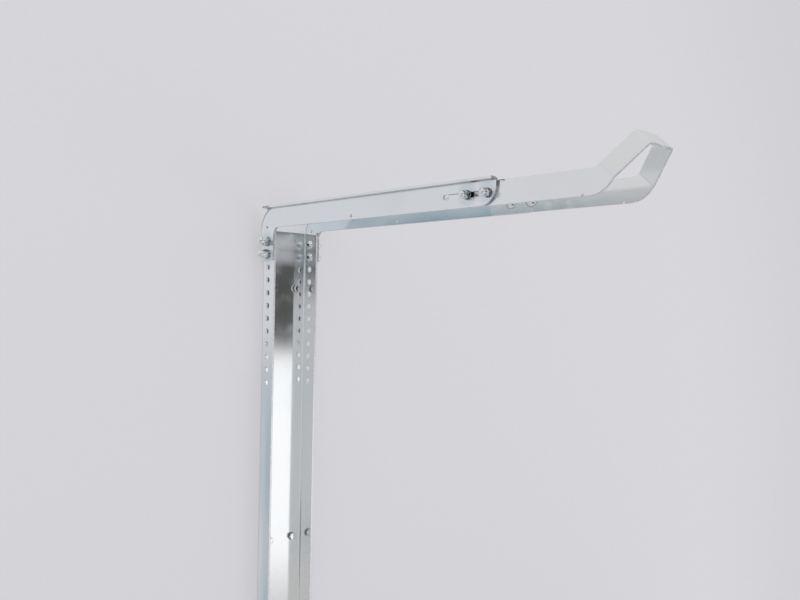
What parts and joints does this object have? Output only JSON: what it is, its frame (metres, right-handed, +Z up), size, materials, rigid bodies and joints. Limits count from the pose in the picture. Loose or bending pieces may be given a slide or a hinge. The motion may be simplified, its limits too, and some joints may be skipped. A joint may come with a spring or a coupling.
{
  "type": "wall bike rack",
  "caption": "Wall-mounted bicycle rack: a tall folded channel carries slotted arms at its top, and a bent strap that slides in the slots catches the front tyre.",
  "frame": {"origin": "on the channel's back face, midway between the middle pair of wall screws", "axes": "+X out from the wall along the arms, +Y to the right of someone facing the wall, +Z up"},
  "size_m": [0.7136, 0.1232, 1.0499],
  "materials": {
    "zinc_sheet": "bright zinc plate on rolled sheet, semi-gloss",
    "zinc_hardware": "bright zinc plate, glossy"
  },
  "bodies": {
    "rack": {"upright_channel": "zinc_sheet", "left_arm": "zinc_sheet", "right_arm": "zinc_sheet", "left_arm_upper_bolt": "zinc_hardware", "left_arm_upper_washer": "zinc_hardware", "left_arm_upper_nut": "zinc_hardware", "left_arm_lower_bolt": "zinc_hardware", "left_arm_lower_washer": "zinc_hardware", "left_arm_lower_nut": "zinc_hardware", "right_arm_upper_bolt": "zinc_hardware", "right_arm_upper_washer": "zinc_hardware", "right_arm_upper_nut": "zinc_hardware", "right_arm_lower_bolt": "zinc_hardware", "right_arm_lower_washer": "zinc_hardware", "right_arm_lower_nut": "zinc_hardware", "bottom_left_wall_screw": "zinc_hardware", "bottom_left_wall_washer": "zinc_hardware", "middle_left_wall_screw": "zinc_hardware", "middle_left_wall_washer": "zinc_hardware", "top_left_wall_screw": "zinc_hardware", "top_left_wall_washer": "zinc_hardware", "bottom_right_wall_screw": "zinc_hardware", "bottom_right_wall_washer": "zinc_hardware", "middle_right_wall_screw": "zinc_hardware", "middle_right_wall_washer": "zinc_hardware", "top_right_wall_screw": "zinc_hardware", "top_right_wall_washer": "zinc_hardware"},
    "strap": {"wheel_strap": "zinc_sheet", "left_strap_front_bolt": "zinc_hardware", "left_strap_front_washer": "zinc_hardware", "left_strap_front_nut": "zinc_hardware", "left_strap_rear_bolt": "zinc_hardware", "left_strap_rear_washer": "zinc_hardware", "left_strap_rear_nut": "zinc_hardware", "right_strap_front_bolt": "zinc_hardware", "right_strap_front_washer": "zinc_hardware", "right_strap_front_nut": "zinc_hardware", "right_strap_rear_bolt": "zinc_hardware", "right_strap_rear_washer": "zinc_hardware", "right_strap_rear_nut": "zinc_hardware"}
  },
  "joints": [
    {"name": "strap_slide", "type": "slide", "parent": "rack", "child": "strap", "axis": [1, 0, 0], "range_m": [-0.037, 0]}
  ]
}
